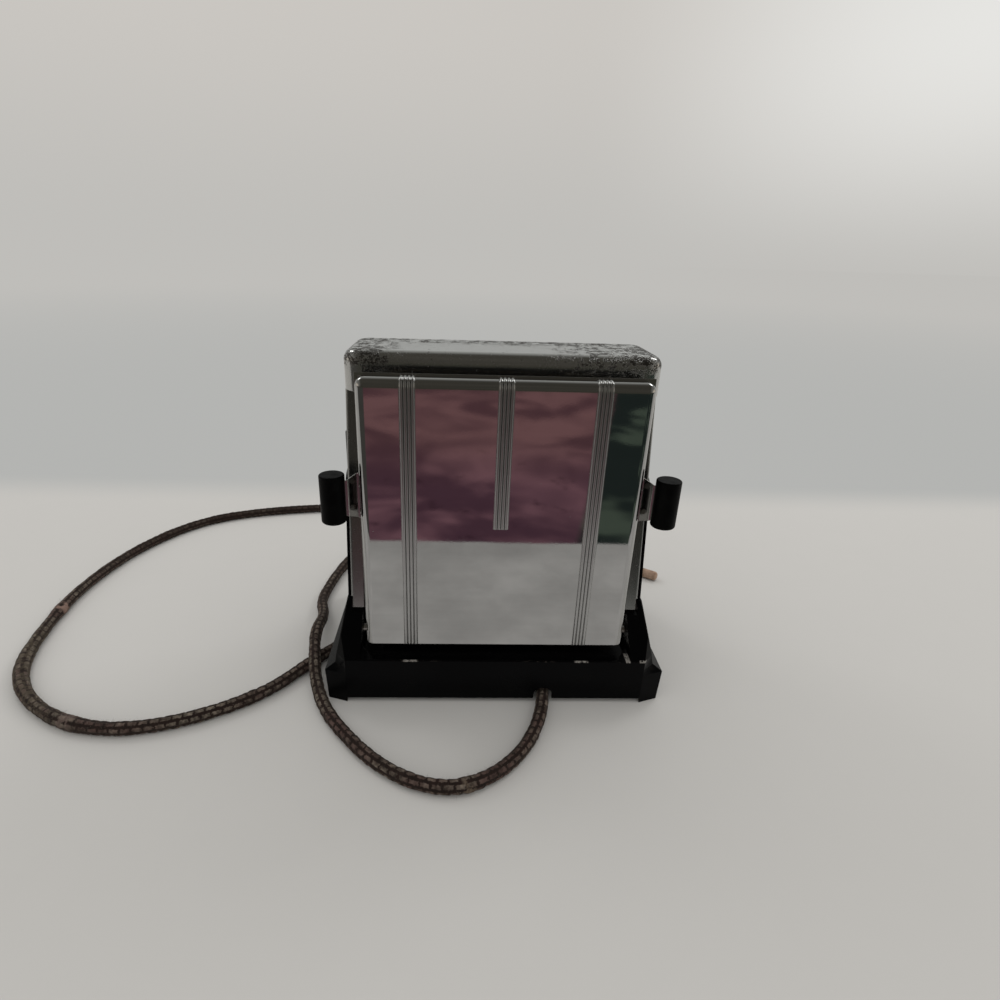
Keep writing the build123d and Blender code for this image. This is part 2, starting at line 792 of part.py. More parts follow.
def biarc(start, start_way, end, end_way):
    """Two tangent arcs from start to end, with the given directions at both ends."""
    chord = end - start
    both = start_way + end_way
    slack = 2 * (1 - start_way.dot(end_way))
    along = chord.dot(both)
    reach = (sqrt(along ** 2 + slack * chord.dot(chord)) - along) / slack
    meet = (start + start_way * reach + end - end_way * reach) * 0.5
    first = TangentArc(start, meet, tangent=start_way)
    TangentArc(meet, end, tangent=first % 1)


def spring_point(angle):
    """A point of the front right spring's coil and the wire's direction there."""
    rise = spring_pitch / (2 * pi)
    place = Vector(spring_outer_turn - rise * angle, -hinge_plane - spring_radius * cos(angle),
                   hinge_height - spring_radius * sin(angle))
    way = Vector(-rise, spring_radius * sin(angle), -spring_radius * cos(angle)).normalized()
    return place, way


def door_spring():
    """Front right spring: leg up the inside of the door, coil round the pin, tail over its end."""
    first = radians(spring_leg_tilt)
    last = 2 * pi * spring_turns
    steps = 4 * spring_turns
    angles = [first + (last - first) * index / steps for index in range(steps + 1)]
    with BuildPart() as spring:
        with BuildLine() as path:
            place, way = spring_point(first)
            Line(place - way * spring_leg, place)
            for here, ahead in zip(angles, angles[1:]):
                biarc(*spring_point(here), *spring_point(ahead))
            place, way = spring_point(last)
            axis = Vector(place.X - spring_pitch / 8, -hinge_plane, hinge_height)
            TangentArc(place, axis, tangent=way)
        with BuildSketch(Plane(origin=path.line @ 0, z_dir=path.line % 0)):
            Circle(spring_wire)
        sweep(path=path.wires()[0])
    return spring.part


def knob_screw():
    """The screw in the back of the front right knob."""
    return screw((knob_screw_x(), -knob_axis_y + knob_recess(), knob_middle), (0, -1, 0),
                 knob_recess() + 2.5)


def make_doors():
    door = door_pan()
    bracket = knob_bracket()
    body = knob()
    screw_part = knob_screw()
    rivets = door_fasteners(1) + door_fasteners(-1)
    pins = [hinge_pin(1), hinge_pin(-1)]
    spring = door_spring()
    springs = [spring, mirrored(spring, Plane.YZ)]
    print("spring: gap between turns", round(spring_pitch - 2 * spring_wire, 2))
    for name, turn in (("front", False), ("back", True)):
        def place(part):
            return mirrored(part, Plane.XZ) if turn else part
        save(place(door), f"{name}_door")
        for side, flip in (("right", False), ("left", True)):
            def across(part):
                return mirrored(part, Plane.YZ) if flip else part
            save(place(across(bracket)), f"{name}_bracket_{side}")
            save(place(across(body)), f"{name}_knob_{side}")
        screws = [place(screw_part), place(mirrored(screw_part, Plane.YZ))]
        save(group(screws), f"{name}_knob_screws")
        save(group([place(piece) for piece in rivets]), f"{name}_door_rivets")
        save(group([place(piece) for piece in pins]), f"{name}_hinge_pins")
        save(group([place(piece) for piece in springs]), f"{name}_door_springs")


# ------------------------------------------------------------------ heating element
def rail():
    """Lower rail: a channel between the end panels that holds the mica's edge."""
    inner = mica_sheet + 2 * mica_clearance
    outer = inner + 2 * rail_sheet
    with BuildPart() as channel:
        with BuildSketch(Plane.XY.offset(element_bottom - rail_sheet)):
            Rectangle(2 * wall_x, outer)
        extrude(amount=rail_height)
        with BuildSketch(Plane.XY.offset(element_bottom)):
            Rectangle(4 * wall_x, inner)
        extrude(amount=rail_height, mode=Mode.SUBTRACT)
        for side in (-1, 1):
            with BuildSketch(Plane.YZ.offset(side * wall_x)):
                with Locations((0, element_bottom + rail_height + 1.4)):
                    Rectangle(outer + 4, 2 * rail_height + 4.4)
                with Locations(rail_rivet_places()[0]):
                    Circle(rivet_radius + running_fit, mode=Mode.SUBTRACT)
            extrude(amount=-side * rail_sheet)
    return channel.part


def ribbon_heights():
    low = element_bottom + ribbon_margin
    high = element_top - ribbon_margin
    step = (high - low) / (ribbon_turns - 1)
    return low, step


def make_ribbon():
    """One flat resistance ribbon wound round the mica from the lower left to the upper right."""
    low, step = ribbon_heights()
    reach = mica_width / 2
    face = mica_sheet / 2
    half = ribbon_width / 2
    with BuildPart() as ribbon:
        for turn in range(ribbon_turns):
            z = low + turn * step
            with BuildSketch(Plane.XZ.offset(face)):
                with Locations((0, z)):
                    Rectangle(2 * (reach + ribbon_sheet), ribbon_width)
            extrude(amount=ribbon_sheet)
            with BuildSketch(Plane.YZ.offset(reach)):
                with Locations((0, z)):
                    Rectangle(mica_sheet + 2 * ribbon_sheet, ribbon_width)
            extrude(amount=ribbon_sheet)
            if turn < ribbon_turns - 1:
                far = reach + ribbon_sheet
                with BuildSketch(Plane.XZ.offset(-face)):
                    Polygon((far, z - half), (far, z + half), (-far, z + step + half),
                            (-far, z + step - half), align=None)
                extrude(amount=-ribbon_sheet)
                with BuildSketch(Plane.YZ.offset(-reach)):
                    with Locations((0, z + step)):
                        Rectangle(mica_sheet + 2 * ribbon_sheet, ribbon_width)
                extrude(amount=-ribbon_sheet)
        # tails to the two terminals
        top = low + (ribbon_turns - 1) * step
        low_eyelet, high_eyelet = terminal_heights()
        tails = [(-lead_x, low_eyelet + eyelet_radius, low), (lead_x, top, high_eyelet - eyelet_radius)]
        for x, start, end in tails:
            with BuildSketch(Plane.XZ.offset(face)):
                with Locations((x, (start + end) / 2)):
                    Rectangle(ribbon_width, end - start)
            extrude(amount=ribbon_sheet)
    save(ribbon.part, "element_ribbon")


def terminal_heights():
    """Heights of the lower left and the upper right terminal on the mica."""
    return element_bottom + terminal_margin, element_top - terminal_margin


def make_element():
    places = ((-lead_x, terminal_heights()[0]), (lead_x, terminal_heights()[1]))
    with BuildPart() as mica:
        with BuildSketch(Plane.XZ.offset(-mica_sheet / 2)):
            with Locations((0, (element_bottom + element_top) / 2)):
                Rectangle(mica_width, mica_height)
            with Locations(*places):
                Circle(rivet_radius + running_fit, mode=Mode.SUBTRACT)
        extrude(amount=mica_sheet)
    save(mica.part, "element_mica")
    make_ribbon()
    low_rail = rail()
    save(low_rail, "element_rail_bottom")
    middle = Plane.XY.offset((element_bottom + element_top) / 2)
    save(mirrored(low_rail, middle), "element_rail_top")
    eyelets = []
    for x, z in places:
        with BuildPart() as eyelet:
            with BuildSketch(Plane.XZ.offset(-mica_sheet / 2)):
                with Locations((x, z)):
                    Circle(rivet_radius)
            extrude(amount=mica_sheet)
            with BuildSketch(Plane.XZ.offset(mica_sheet / 2)):
                with Locations((x, z)):
                    Circle(eyelet_radius)
            extrude(amount=eyelet_head)
            with BuildSketch(Plane.XZ.offset(-mica_sheet / 2)):
                with Locations((x, z)):
                    Circle(eyelet_radius)
            extrude(amount=-(lead_plane - lead_radius - mica_sheet / 2))
        eyelets.append(eyelet.part)
    save(group(eyelets), "element_terminals")


def guard():
    """Front guard: upright bars between two frame wires."""
    low = element_bottom + guard_margin
    high = element_top - guard_margin
    with BuildPart() as wires:
        for z in (low, high):
            add(rod((-wall_x, -guard_plane, z), (wall_x, -guard_plane, z), guard_frame_radius))
        for index in range(guard_bars):
            x = (index - (guard_bars - 1) / 2) * guard_bar_pitch
            add(rod((x, -guard_plane, low), (x, -guard_plane, high), guard_bar_radius))
    return wires.part


def make_guards():
    front = guard()
    save(front, "bread_guard_front")
    save(mirrored(front, Plane.XZ), "bread_guard_back")


# ------------------------------------------------------------------ wiring

def make_terminals():
    top = bottom_plate_top + block_height
    places = [(block_x - terminal_pitch / 2, block_y), (block_x + terminal_pitch / 2, block_y)]
    with BuildPart() as block:
        with BuildSketch(Plane.XY.offset(bottom_plate_top)):
            with Locations((block_x, block_y)):
                RectangleRounded(block_length, block_width, 2)
        extrude(amount=block_height)
        with BuildSketch(Plane.XY.offset(top - terminal_hole)):
            with Locations(*places):
                Circle(screw_radius)
        extrude(amount=terminal_hole, mode=Mode.SUBTRACT)
    save(block.part, "terminal_block")
    screws = [screw((x, y, top), (0, 0, -1), 3.5) for x, y in places]
    save(group(screws), "terminal_screws")
    wire_z = bottom_plate_top + block_height / 2
    for name, side, end in (("left", -1, terminal_heights()[0]), ("right", 1, terminal_heights()[1])):
        start_x = block_x + side * block_length / 2
        points = [(start_x, block_y, wire_z), (side * lead_x, block_y, wire_z),
                  (side * lead_x, lead_plane, wire_z), (side * lead_x, lead_plane, end + 2)]
        save(bent_wire(points, lead_radius, lead_bend), f"element_lead_{name}")
    wires = []
    for side in (-1, 1):
        x = cord_exit_x + side * wire_radius * 1.15
        target = block_x + side * terminal_pitch / 2
        start = (x, half_depth - base_sheet - bushing_flange, cord_exit_height)
        near = (x, half_depth - 12, cord_exit_height)
        corner = (target, block_y + block_width / 2 + 8, wire_z)
        wires.append(bent_wire([start, near, corner, (target, block_y + block_width / 2, wire_z)],
                               wire_radius, wire_bend))
    save(group(wires), "supply_wires")


def make_bushing():
    """The grommet with a tapered sleeve where the lead leaves the back skirt."""
    inner = half_depth - base_sheet
    outer = half_depth
    with BuildPart() as bushing:
        with BuildSketch(Plane.XZ.offset(-inner)):
            with Locations((cord_exit_x, cord_exit_height)):
                Circle(bushing_neck_radius)
        extrude(amount=-base_sheet)
        with BuildSketch(Plane.XZ.offset(-inner)):
            with Locations((cord_exit_x, cord_exit_height)):
                Circle(bushing_flange_radius - 1.5)
        extrude(amount=bushing_flange)
        with BuildSketch(Plane.XZ.offset(-outer)):
            with Locations((cord_exit_x, cord_exit_height)):
                Circle(bushing_flange_radius)
        extrude(amount=-bushing_flange)
        with BuildSketch(Plane.XZ.offset(-outer - bushing_flange)):
            with Locations((cord_exit_x, cord_exit_height)):
                Circle(bushing_neck_radius + 0.6)
        with BuildSketch(Plane.XZ.offset(-outer - bushing_flange - bushing_sleeve)):
            with Locations((cord_exit_x, cord_exit_height)):
                Circle(bushing_tip_radius)
        loft()
        # bore for the two conductors
        with BuildSketch(Plane.XZ.offset(-inner + 2 * bushing_flange)):
            with Locations((cord_exit_x, cord_exit_height)):
                Circle(2 * wire_radius + 0.5)
        extrude(amount=-(bushing_sleeve + 6 * bushing_flange), mode=Mode.SUBTRACT)
    save(bushing.part, "cord_bushing")


def cord_start():
    return (cord_exit_x, half_depth + bushing_flange + bushing_sleeve, cord_exit_height)


# The lead's route, point by point, as it lies: out of the back, round the left side, along
# the front, under the base, out on the left in a wide loop and round behind to its end.
# It rests on the floor except at its exit and where it passes over itself.
lying = cord_radius
over = 3 * cord_radius + 1.2
cord_points = [
    cord_start(),
    (cord_exit_x, 104, cord_exit_height),
    (-50, 124, 8.0),
    (-69, 137, lying),
    (-94, 134, lying),
    (-113, 115, lying),
    (-120, 90, lying),
    (-124, 65, lying),
    (-125, 40, lying),
    (-122, 15, 8.5),
    (-117, -8, over),
    (-112, -33, over),
    (-109, -54, 7.0),
    (-99, -75, lying),
    (-85, -93, lying),
    (-67, -112, lying),
    (-45, -126, lying),
    (-22, -130, lying),
    (-1, -120, lying),
    (15, -103, lying),
    (25, -82, lying),
    (30, -60, lying),
    (31, -38, lying),
    (22, -17, lying),
    (2, -3, lying),
    (-24, 3, lying),
    (-52, 5, lying),
    (-79, 1, lying),
    (-101, -11, lying),
    (-118, -32, lying),
    (-134, -56, lying),
    (-156, -73, lying),
    (-184, -86, lying),
    (-214, -91, lying),
    (-246, -84, lying),
    (-277, -64, lying),
    (-297, -37, lying),
    (-307, 3, lying),
    (-313, 56, lying),
    (-302, 122, lying),
    (-270, 178, lying),
    (-221, 203, lying),
    (-150, 217, lying),
    (-80, 223, lying),
    (-14, 212, lying),
    (39, 182, lying),
    (76, 144, lying),
    (103, 112, lying),
    (134, 90, lying),
]


def corner_radii(points):
    """For each corner, the largest radius its two runs allow."""
    radii = []
    for before, here, after in zip(points, points[1:], points[2:]):
        first = Vector(*here) - Vector(*before)
        second = Vector(*after) - Vector(*here)
        turn = first.get_angle(second)
        radii.append(0.45 * min(first.length, second.length) / tan(radians(turn / 2)))
    return radii


def make_cord():
    radii = corner_radii(cord_points)
    print("cord: least radius", round(min(radii), 1), "radii", [round(r) for r in radii])
    with BuildPart() as cord:
        with BuildLine():
            path = FilletPolyline(*cord_points, radius=radii)
        with BuildSketch(Plane(origin=path @ 0, z_dir=path % 0)):
            Circle(cord_radius)
        sweep()
    expected = pi * cord_radius ** 2 * path.length
    print("cord: length", round(path.length, 1), "volume over section times length",
          round(cord.part.volume / expected, 5))
    save(cord.part, "cord")
    along = Vector(*cord_points[-1]) - Vector(*cord_points[-2])
    with BuildPart() as tip:
        with BuildSketch(Plane(origin=cord_points[-1], z_dir=along)):
            Circle(cord_radius - end_sleeve_step)
        extrude(amount=end_sleeve)
        fillet(tip.edges().filter_by(GeomType.CIRCLE).sort_by(Axis(cord_points[-1], along))[-1], 2.4)
    save(tip.part, "cord_end")


make_base_pan()
make_bottom_plate()
make_ends()
make_cap()
make_doors()
make_element()
make_guards()
make_terminals()
make_bushing()
make_cord()
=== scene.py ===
import math
import random

import bpy
from mathutils import Matrix, Vector, noise


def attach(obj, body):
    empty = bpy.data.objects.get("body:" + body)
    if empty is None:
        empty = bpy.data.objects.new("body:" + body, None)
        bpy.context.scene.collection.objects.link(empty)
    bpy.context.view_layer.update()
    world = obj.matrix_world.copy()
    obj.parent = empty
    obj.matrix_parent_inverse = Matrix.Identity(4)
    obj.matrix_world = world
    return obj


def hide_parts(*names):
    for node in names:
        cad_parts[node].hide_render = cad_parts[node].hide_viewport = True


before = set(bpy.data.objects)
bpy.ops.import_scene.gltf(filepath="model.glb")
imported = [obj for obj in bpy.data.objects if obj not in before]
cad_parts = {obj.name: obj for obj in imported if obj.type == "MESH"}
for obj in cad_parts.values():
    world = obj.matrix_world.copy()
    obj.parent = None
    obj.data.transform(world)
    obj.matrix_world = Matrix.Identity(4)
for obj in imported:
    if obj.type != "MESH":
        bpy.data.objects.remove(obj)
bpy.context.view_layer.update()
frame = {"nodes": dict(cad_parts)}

nodes = frame["nodes"]
random.seed(7)


# ------------------------------------------------------------------ camera
picture_side = 1000.0              # pixels, the photograph's frame
focal_length = 599.1               # pixels
axis_pixel = (478.1, 499.0)        # where the optical axis meets the photograph
camera_place = Vector((-0.0249, -0.3498, 0.2544))
camera_pitch = math.radians(22.85)
camera_yaw = math.radians(-2.24)
camera_roll = math.radians(1.78)
sensor_width = 36.0


def make_camera():
    """The photograph's camera. Its frame is shifted, because the optical axis misses the middle."""
    data = bpy.data.cameras.new("camera")
    data.sensor_width = sensor_width
    data.lens = focal_length / picture_side * sensor_width
    data.shift_x = 0.5 - axis_pixel[0] / picture_side
    data.shift_y = axis_pixel[1] / picture_side - 0.5
    data.clip_start = 0.01
    camera = bpy.data.objects.new("camera", data)
    bpy.context.scene.collection.objects.link(camera)
    upright = Vector((0, 0, 1))
    level = Vector((-math.sin(camera_yaw), math.cos(camera_yaw), 0))
    right = Vector((math.cos(camera_yaw), math.sin(camera_yaw), 0))
    ahead = level * math.cos(camera_pitch) - upright * math.sin(camera_pitch)
    above = level * math.sin(camera_pitch) + upright * math.cos(camera_pitch)
    image_x = right * math.cos(camera_roll) + above * math.sin(camera_roll)
    image_y = above * math.cos(camera_roll) - right * math.sin(camera_roll)
    turn = Matrix((image_x, image_y, -ahead)).transposed().to_4x4()
    camera.matrix_world = Matrix.Translation(camera_place) @ turn
    bpy.context.scene.camera = camera


make_camera()


# ------------------------------------------------------------------ material helpers
class Graph:
    """A node tree that is built by short calls."""

    def __init__(self, tree):
        self.tree = tree
        self.tree.nodes.clear()

    def node(self, kind, inputs=None, **settings):
        made = self.tree.nodes.new("ShaderNode" + kind)
        for key, value in settings.items():
            setattr(made, key, value)
        for key, value in (inputs or {}).items():
            self.put(made.inputs[key], value)
        return made

    def put(self, socket, value):
        if isinstance(value, bpy.types.NodeSocket):
            self.tree.links.new(value, socket)
        elif isinstance(value, bpy.types.Node):
            self.tree.links.new(value.outputs[0], socket)
        elif hasattr(value, "__len__") and len(value) == 3 and socket.type == "RGBA":
            socket.default_value = (*value, 1.0)
        else:
            socket.default_value = value

    def place(self):
        """Object coordinates: metres in the row frame, which stay with the piece when it moves."""
        return self.node("TexCoord").outputs["Object"]

    def stretched(self, scale):
        """Object coordinates times a scale along each axis."""
        return self.node("Mapping", {"Vector": self.place(), "Scale": scale}).outputs[0]

    def math(self, operation, first, second=0.0):
        return self.node("Math", {0: first, 1: second}, operation=operation).outputs[0]

    def plus(self, first, second):
        return self.math("ADD", first, second)

    def minus(self, first, second):
        return self.math("SUBTRACT", first, second)

    def times(self, first, second):
        return self.math("MULTIPLY", first, second)

    def larger(self, first, second):
        return self.math("MAXIMUM", first, second)

    def size(self, value):
        """The value without its sign."""
        return self.math("ABSOLUTE", value)

    def noise(self, scale, detail, rough=0.55, vector=None, distortion=0.0):
        inputs = {"Scale": scale, "Detail": detail, "Roughness": rough, "Distortion": distortion,
                  "Vector": vector or self.place()}
        return self.node("TexNoise", inputs).outputs["Fac"]

    def ramp(self, factor, low, high, from_value=0.0, to_value=1.0):
        """factor mapped from low..high to from_value..to_value, smoothly and clamped."""
        inputs = {"Value": factor, "From Min": low, "From Max": high,
                  "To Min": from_value, "To Max": to_value}
        return self.node("MapRange", inputs, interpolation_type="SMOOTHSTEP").outputs[0]

    def mix(self, factor, first, second):
        """Two colours mixed by a factor."""
        made = self.node("Mix", data_type="RGBA")
        self.put(made.inputs["Factor"], factor)
        self.put(made.inputs[6], first)
        self.put(made.inputs[7], second)
        return made.outputs[2]

    def blend(self, factor, first, second):
        """Two numbers mixed by a factor."""
        made = self.node("Mix", data_type="FLOAT")
        self.put(made.inputs[0], factor)
        self.put(made.inputs[2], first)
        self.put(made.inputs[3], second)
        return made.outputs[0]

    def edges(self, radius, low=0.02, high=0.25):
        """1 along sharp edges, 0 on flats."""
        bevel = self.node("Bevel", {"Radius": radius}, samples=6)
        normal = self.node("NewGeometry").outputs["Normal"]
        dot = self.node("VectorMath", {0: bevel.outputs[0], 1: normal}, operation="DOT_PRODUCT")
        return self.ramp(self.minus(1.0, dot.outputs["Value"]), low, high)

    def bump(self, height, distance, strength, normal=None):
        """The surface's normal, or the one given, with a relief of this height added."""
        inputs = {"Height": height, "Distance": distance, "Strength": strength}
        if normal is not None:
            inputs["Normal"] = normal
        return self.node("Bump", inputs).outputs[0]

    def soft_edges(self, radius):
        """The surface's normal with its edges rounded."""
        return self.node("Bevel", {"Radius": radius}, samples=6).outputs[0]

    def axis(self, index):
        """One object coordinate, in metres."""
        return self.node("SeparateXYZ", {0: self.place()}).outputs[index]

    def near(self, value, centre, core, reach):
        """1 within core of centre, falling to 0 at reach."""
        return self.ramp(self.size(self.minus(value, centre)), reach, core)


class Shader(Graph):
    """A material with one principled surface."""

    def __init__(self, name):
        self.material = bpy.data.materials.new(name)
        self.material.use_nodes = True
        super().__init__(self.material.node_tree)
        self.output = self.tree.nodes.new("ShaderNodeOutputMaterial")
        self.surface = self.tree.nodes.new("ShaderNodeBsdfPrincipled")
        self.put(self.output.inputs[0], self.surface)

    def set(self, **values):
        """Give the surface values or sockets. An underscore in a name stands for a space."""
        for key, value in values.items():
            self.put(self.surface.inputs[key.replace("_", " ")], value)


def paint(material, *names):
    """Give the named nodes one material."""
    for name in names:
        slots = nodes[name].material_slots
        if not slots:
            nodes[name].data.materials.append(material)
        for slot in slots:
            slot.material = material


def scaled(colour, share):
    """A colour made darker or lighter."""
    return tuple(value * share for value in colour)


# ------------------------------------------------------------------ cord
cord_diameter = 0.0076
cord_exit = (-0.040, 0.0885, 0.015)
lying = cord_diameter / 2          # height of its middle where it lies on the floor
over = 0.0126                      # and where it passes over itself
cord_points = [
    cord_exit,
    (-0.040, 0.104, 0.015),
    (-0.050, 0.124, 0.008),
    (-0.069, 0.137, lying),
    (-0.094, 0.134, lying),
    (-0.113, 0.115, lying),
    (-0.120, 0.090, lying),
    (-0.124, 0.065, lying),
    (-0.126, 0.040, lying),
    (-0.1175, 0.015, 0.0085),
    (-0.1185, -0.008, over),
    (-0.114, -0.033, over),
    (-0.109, -0.054, 0.007),
    (-0.099, -0.075, lying),
    (-0.085, -0.093, lying),
    (-0.067, -0.112, lying),
    (-0.045, -0.126, lying),
    (-0.022, -0.130, lying),
    (-0.001, -0.120, lying),
    (0.015, -0.103, lying),
    (0.025, -0.082, lying),
    (0.030, -0.060, lying),
    (0.031, -0.038, lying),
    (0.022, -0.017, lying),
    (0.002, -0.003, lying),
    (-0.024, 0.003, lying),
    (-0.052, 0.005, lying),
    (-0.079, 0.001, lying),
    (-0.101, -0.011, lying),
    (-0.118, -0.032, lying),
    (-0.134, -0.056, lying),
    (-0.156, -0.073, lying),
    (-0.184, -0.086, lying),
    (-0.214, -0.091, lying),
    (-0.246, -0.084, lying),
    (-0.277, -0.064, lying),
    (-0.297, -0.037, lying),
    (-0.307, 0.003, lying),
    (-0.313, 0.056, lying),
    (-0.302, 0.122, lying),
    (-0.270, 0.178, lying),
    (-0.221, 0.203, lying),
    (-0.150, 0.217, lying),
    (-0.080, 0.223, lying),
    (-0.014, 0.212, lying),
    (0.039, 0.182, lying),
    (0.076, 0.144, lying),
    (0.103, 0.112, lying),
    (0.134, 0.090, lying),
]
braid_columns = 6                  # columns of blocks round the lead
braid_pitch = 0.0057               # from one block to the next along it
tracer_depth = 0.00030             # how far the lines between the blocks lie below them
thread_relief = 0.00022            # how far the threads' own roughness moves the surface
unevenness = 0.07                  # how much the radius varies along the lead, as a share of it
floor_clearance = 0.0001           # the braid stays this far above the floor
threads_around = 48.0
threads_per_metre = 2000.0
faded_stretch = (0.03, 0.14)       # the blocks fade between these places, towards the back
tube_sides = 36
tube_step = 0.0008

# worn places of the braid, by distance along the lead from the base
loop_wear = 0.410
crossing_wear = 0.840
long_wear = 0.905
bare_wear = 0.981
# place, spread and rise as a share of the radius
swellings = ((loop_wear, 0.006, 0.10), (crossing_wear, 0.010, 0.12), (long_wear, 0.040, 0.17),
             (bare_wear, 0.006, 0.16), (0.615, 0.006, 0.09), (0.240, 0.008, 0.10))
# place, reach, amount and colour of the threads that are rubbed pale
worn_spots = ((bare_wear, 0.006, 0.9, (0.23, 0.15, 0.12)),
              (long_wear, 0.070, 0.4, (0.095, 0.078, 0.052)),
              (crossing_wear, 0.007, 0.6, (0.14, 0.10, 0.085)),
              (loop_wear, 0.004, 0.8, (0.12, 0.09, 0.065)))
# place and spread of the frays
frays = ((0.408, 0.016), (0.426, 0.014), (0.816, 0.016), (0.850, 0.03), (long_wear, 0.05),
         (bare_wear, 0.012))

fibre_count = 2600                 # along the whole lead
fray_count = 110                   # more of them in each fray
fibre_length = (0.0003, 0.0012)
fray_length = (0.0006, 0.0026)
fibre_thickness = (0.00003, 0.00006)
fibre_depth = 0.0002               # how deep a fibre's root lies in the braid
fibre_clearance = 0.0004           # no fibre's middle line lies lower than this
fibre_rings = 4
fibre_sides = 3


def cord_line():
    """Points read from the route's NURBS spline."""
    curve = bpy.data.curves.new("cord_route", "CURVE")
    curve.dimensions = "3D"
    curve.resolution_u = 24
    spline = curve.splines.new("NURBS")
    spline.points.add(len(cord_points) - 1)
    for point, place in zip(spline.points, cord_points):
        point.co = (*place, 1.0)
    spline.order_u = 3
    spline.use_endpoint_u = True
    holder = bpy.data.objects.new("cord_route", curve)
    bpy.context.scene.collection.objects.link(holder)
    mesh = bpy.data.meshes.new_from_object(holder)
    points = [vertex.co.copy() for vertex in mesh.vertices]
    bpy.data.objects.remove(holder)
    bpy.data.meshes.remove(mesh)
    return points


def evenly(points, step):
    """The same line in equal steps, with the distance of each point along it."""
    lengths = [0.0]
    for before, after in zip(points, points[1:]):
        lengths.append(lengths[-1] + (after - before).length)
    count = round(lengths[-1] / step)
    spaced, at = [], 0
    for index in range(count + 1):
        distance = lengths[-1] * index / count
        while at < len(lengths) - 2 and lengths[at + 1] < distance:
            at += 1
        share = (distance - lengths[at]) / max(lengths[at + 1] - lengths[at], 1e-9)
        spaced.append((points[at].lerp(points[at + 1], share), distance))
    return spaced, lengths[-1]


def along_frames(spaced):
    """Each point with its distance, its direction and two cross directions that don't twist."""
    frames = []
    side = Vector((0, 0, 1))
    for index, (point, distance) in enumerate(spaced):
        before = spaced[max(index - 1, 0)][0]
        after = spaced[min(index + 1, len(spaced) - 1)][0]
        way = (after - before).normalized()
        side = (side - way * side.dot(way)).normalized()
        frames.append((point, distance, way, side, way.cross(side)))
    return frames


def braid_height(turn, distance):
    """How far the braid stands proud here, from 0 on a tracer line to 1 on a block."""
    column = turn * braid_columns
    across = abs(column % 1.0 - 0.5) * 2.0
    row = (distance / braid_pitch + 0.5 * (math.floor(column) % 2)) % 1.0
    along = abs(row - 0.5) * 2.0
    return min(1.0, max(0.0, (0.78 - across) / 0.30)) * min(1.0, max(0.0, (0.90 - along) / 0.20))


def swelling(distance):
    """How much thicker the lead is here, as a share of its radius, where the braid has worn loose."""
    return sum(rise * math.exp(-((distance - centre) / spread) ** 2) for centre, spread, rise in swellings)


def make_cord():
    """The braid as a mesh, and the lead's path, length and frames."""
    spaced, length = evenly(cord_line(), tube_step)
    frames = along_frames(spaced)
    radius = cord_diameter / 2
    vertices, faces, turns = [], [], []
    for point, distance, _, side, other in frames:
        bulge = noise.noise(Vector((distance * 110, 0.3, 0.1)))
        uneven = 1.0 + unevenness * bulge + swelling(distance)
        for index in range(tube_sides):
            turn = index / tube_sides
            angle = 2 * math.pi * turn
            rough = noise.noise(Vector((math.cos(angle) * 2, math.sin(angle) * 2, distance * 350)))
            sunk = tracer_depth * (1 - braid_height(turn, distance))
            reach = radius * uneven - sunk + thread_relief * rough
            place = point + side * math.cos(angle) * reach + other * math.sin(angle) * reach
            place.z = max(place.z, floor_clearance)
            vertices.append(place)
    count = len(frames)
    for ring in range(count - 1):
        for index in range(tube_sides):
            ahead = (index + 1) % tube_sides
            faces.append((ring * tube_sides + index, ring * tube_sides + ahead,
                          (ring + 1) * tube_sides + ahead, (ring + 1) * tube_sides + index))
            turns.append((index, ring))
    faces.append(tuple(reversed(range(tube_sides))))
    faces.append(tuple((count - 1) * tube_sides + index for index in range(tube_sides)))
    mesh = bpy.data.meshes.new("cord_braid")
    mesh.from_pydata(vertices, [], faces)
    layer = mesh.uv_layers.new(name="braid")
    for polygon in mesh.polygons:
        if polygon.index < len(turns):
            index, ring = turns[polygon.index]
            corners = ((index, ring), (index + 1, ring), (index + 1, ring + 1), (index, ring + 1))
            for loop, (around, along) in zip(polygon.loop_indices, corners):
                layer.data[loop].uv = (around / tube_sides, frames[along][1])
        polygon.use_smooth = True
    piece = bpy.data.objects.new("cord_braid", mesh)
    bpy.context.scene.collection.objects.link(piece)
    return piece, [frame[0] for frame in frames], length, frames


